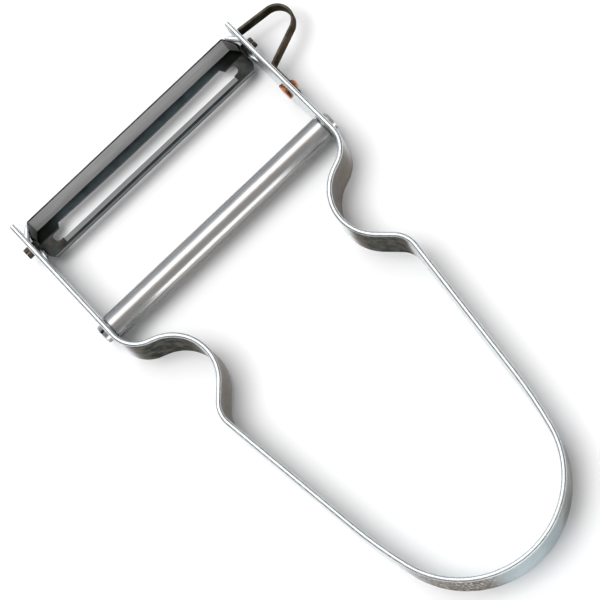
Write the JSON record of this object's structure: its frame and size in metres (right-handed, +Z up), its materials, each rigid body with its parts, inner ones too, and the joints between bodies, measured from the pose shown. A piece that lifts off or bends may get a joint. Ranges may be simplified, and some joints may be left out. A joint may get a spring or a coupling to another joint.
{
  "type": "vegetable peeler",
  "caption": "Flat bowed-strip vegetable peeler with a slotted swivel blade between its arms, a tubular crossbar behind it and an eye-removing loop on one arm.",
  "frame": {"origin": "middle of the strip's thickness at the far end of the bow, on the strip's lower edge that the peeler lies on", "axes": "+Y from the bow to the blade, +X to the arm that carries the eye remover, +Z up from the edge that the peeler lies on"},
  "size_m": [0.0662, 0.1104, 0.01],
  "materials": {
    "handle_aluminium": "bright rolled strip with rounded edges and fine length-wise drawing marks",
    "blade_steel": "dark hardened carbon steel, ground grey on the front wall and along the cutting edge",
    "crossbar_steel": "bright rolled sheet tube with an open seam",
    "eye_remover_steel": "dark spring steel strip with brownish edges",
    "rivet_copper": "bare copper, a little tarnished"
  },
  "bodies": {
    "handle": {"handle_strip": "handle_aluminium", "crossbar": "crossbar_steel", "eye_remover": "eye_remover_steel", "eye_remover_rivet": "rivet_copper"},
    "blade": {"swivel_blade": "blade_steel"}
  },
  "joints": [
    {"name": "blade_swivel", "type": "hinge", "parent": "handle", "child": "blade", "pos_m": [0, 0.10527, 0.005], "axis": [1, 0, 0], "range_deg": [0, 28]}
  ]
}
